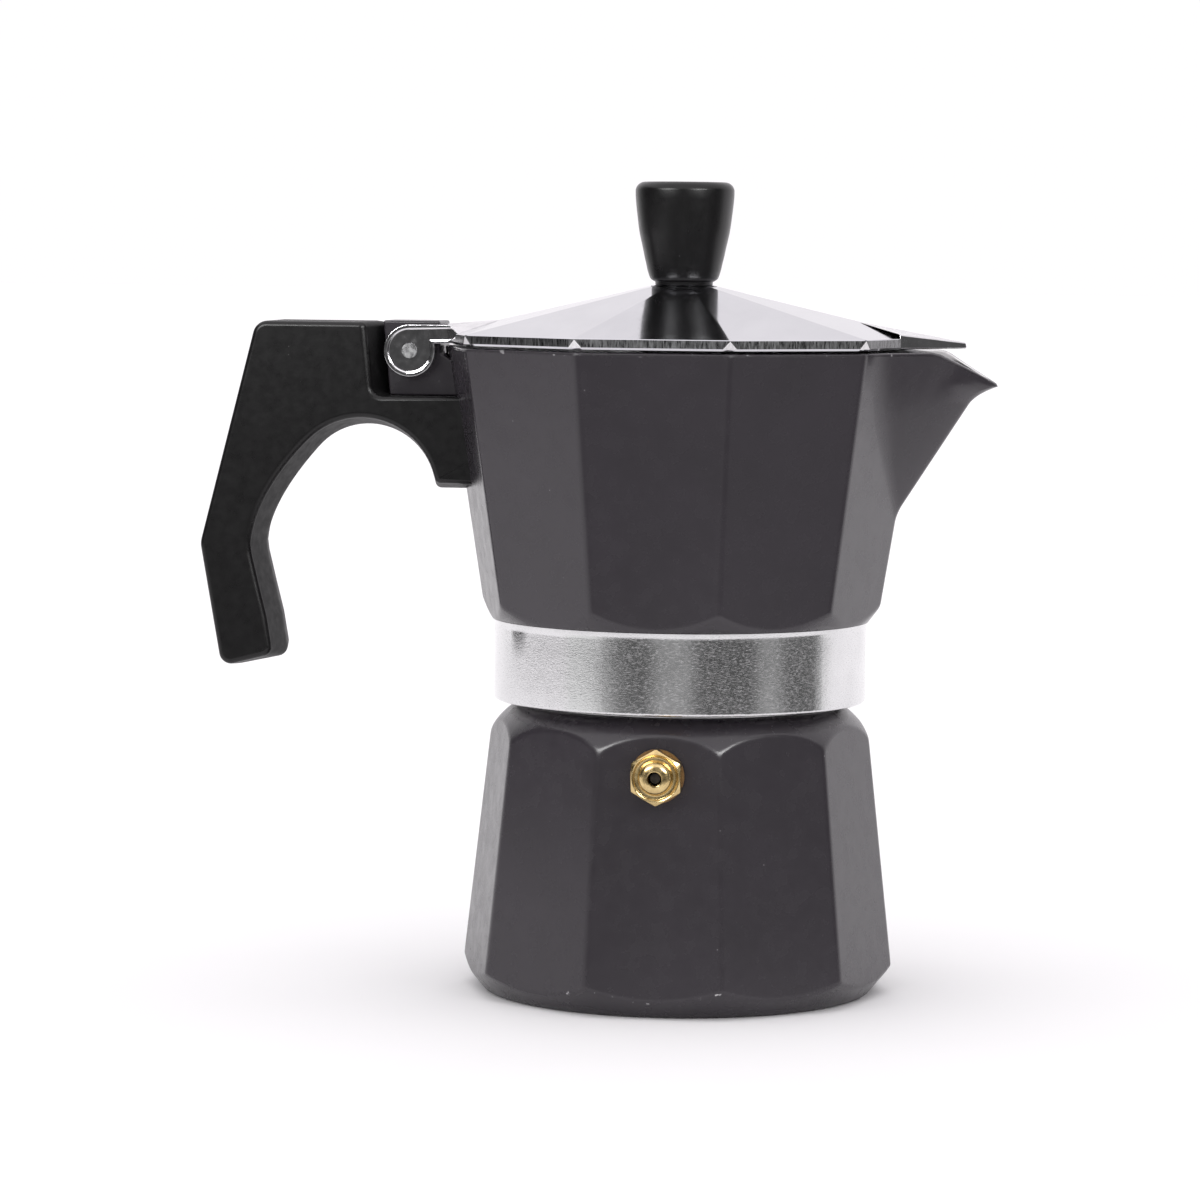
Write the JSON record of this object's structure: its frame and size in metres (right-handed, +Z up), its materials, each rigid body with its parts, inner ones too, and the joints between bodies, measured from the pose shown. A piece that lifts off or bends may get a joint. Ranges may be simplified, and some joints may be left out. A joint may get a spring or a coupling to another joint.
{
  "type": "moka pot",
  "caption": "Stovetop moka pot with a faceted dark grey boiler and collector, a bare aluminium collar, a hinged polished lid, a brass safety valve and a black knob and handle.",
  "frame": {"origin": "centre of the flat base", "axes": "+Z up along the pot's axis, +X towards the spout, -X towards the handle, -Y towards the safety valve"},
  "size_m": [0.1583, 0.0916, 0.1602],
  "materials": {
    "paint": "satin stove enamel on cast aluminium",
    "collar": "turned bare aluminium, satin",
    "polished_aluminium": "mirror polished",
    "aluminium": "brushed, as pressed",
    "bakelite": "moulded, semi gloss",
    "brass": "turned and milled",
    "copper": "annealed washer",
    "steel": "bright zinc plate",
    "silicone": "moulded, matt"
  },
  "bodies": {
    "boiler": {"boiler": "paint", "valve_body": "brass", "valve_seal": "copper", "valve_seat": "brass", "valve_spring": "steel", "funnel": "aluminium", "funnel_stem": "aluminium", "funnel_screen": "aluminium"},
    "valve_poppet": {"valve_poppet": "steel"},
    "gasket": {"gasket": "silicone", "filter_plate": "aluminium"},
    "collector": {"collector": "paint", "coffee_column": "aluminium", "handle": "bakelite", "handle_screw": "steel", "handle_washer": "steel"},
    "lid": {"lid": "polished_aluminium", "hinge_pin": "steel", "knob": "bakelite", "knob_insert": "brass", "knob_screw": "steel", "knob_washer": "steel"}
  },
  "joints": [
    {"name": "unscrew_lift", "type": "slide", "parent": "boiler", "child": "gasket", "axis": [0, 0, 1], "range_m": [0, 0.00676]},
    {"name": "unscrew_turn", "type": "hinge", "parent": "gasket", "child": "collector", "pos_m": [0, 0, 0.07], "axis": [0, 0, 1], "range_deg": [0, 810]},
    {"name": "lid_hinge", "type": "hinge", "parent": "collector", "child": "lid", "pos_m": [-0.0537, 0, 0.1264], "axis": [0, -1, 0], "range_deg": [0, 105]},
    {"name": "valve_lift", "type": "slide", "parent": "boiler", "child": "valve_poppet", "axis": [0.0209, -0.9998, 0], "range_m": [0, 0.0009], "stiffness_N_per_m": 900, "springref_m": -0.002, "deforming": ["valve_spring"]}
  ],
  "couplings": [
    {"joint": "unscrew_lift", "follows": "unscrew_turn", "m_per_rad": 0.00047746}
  ]
}
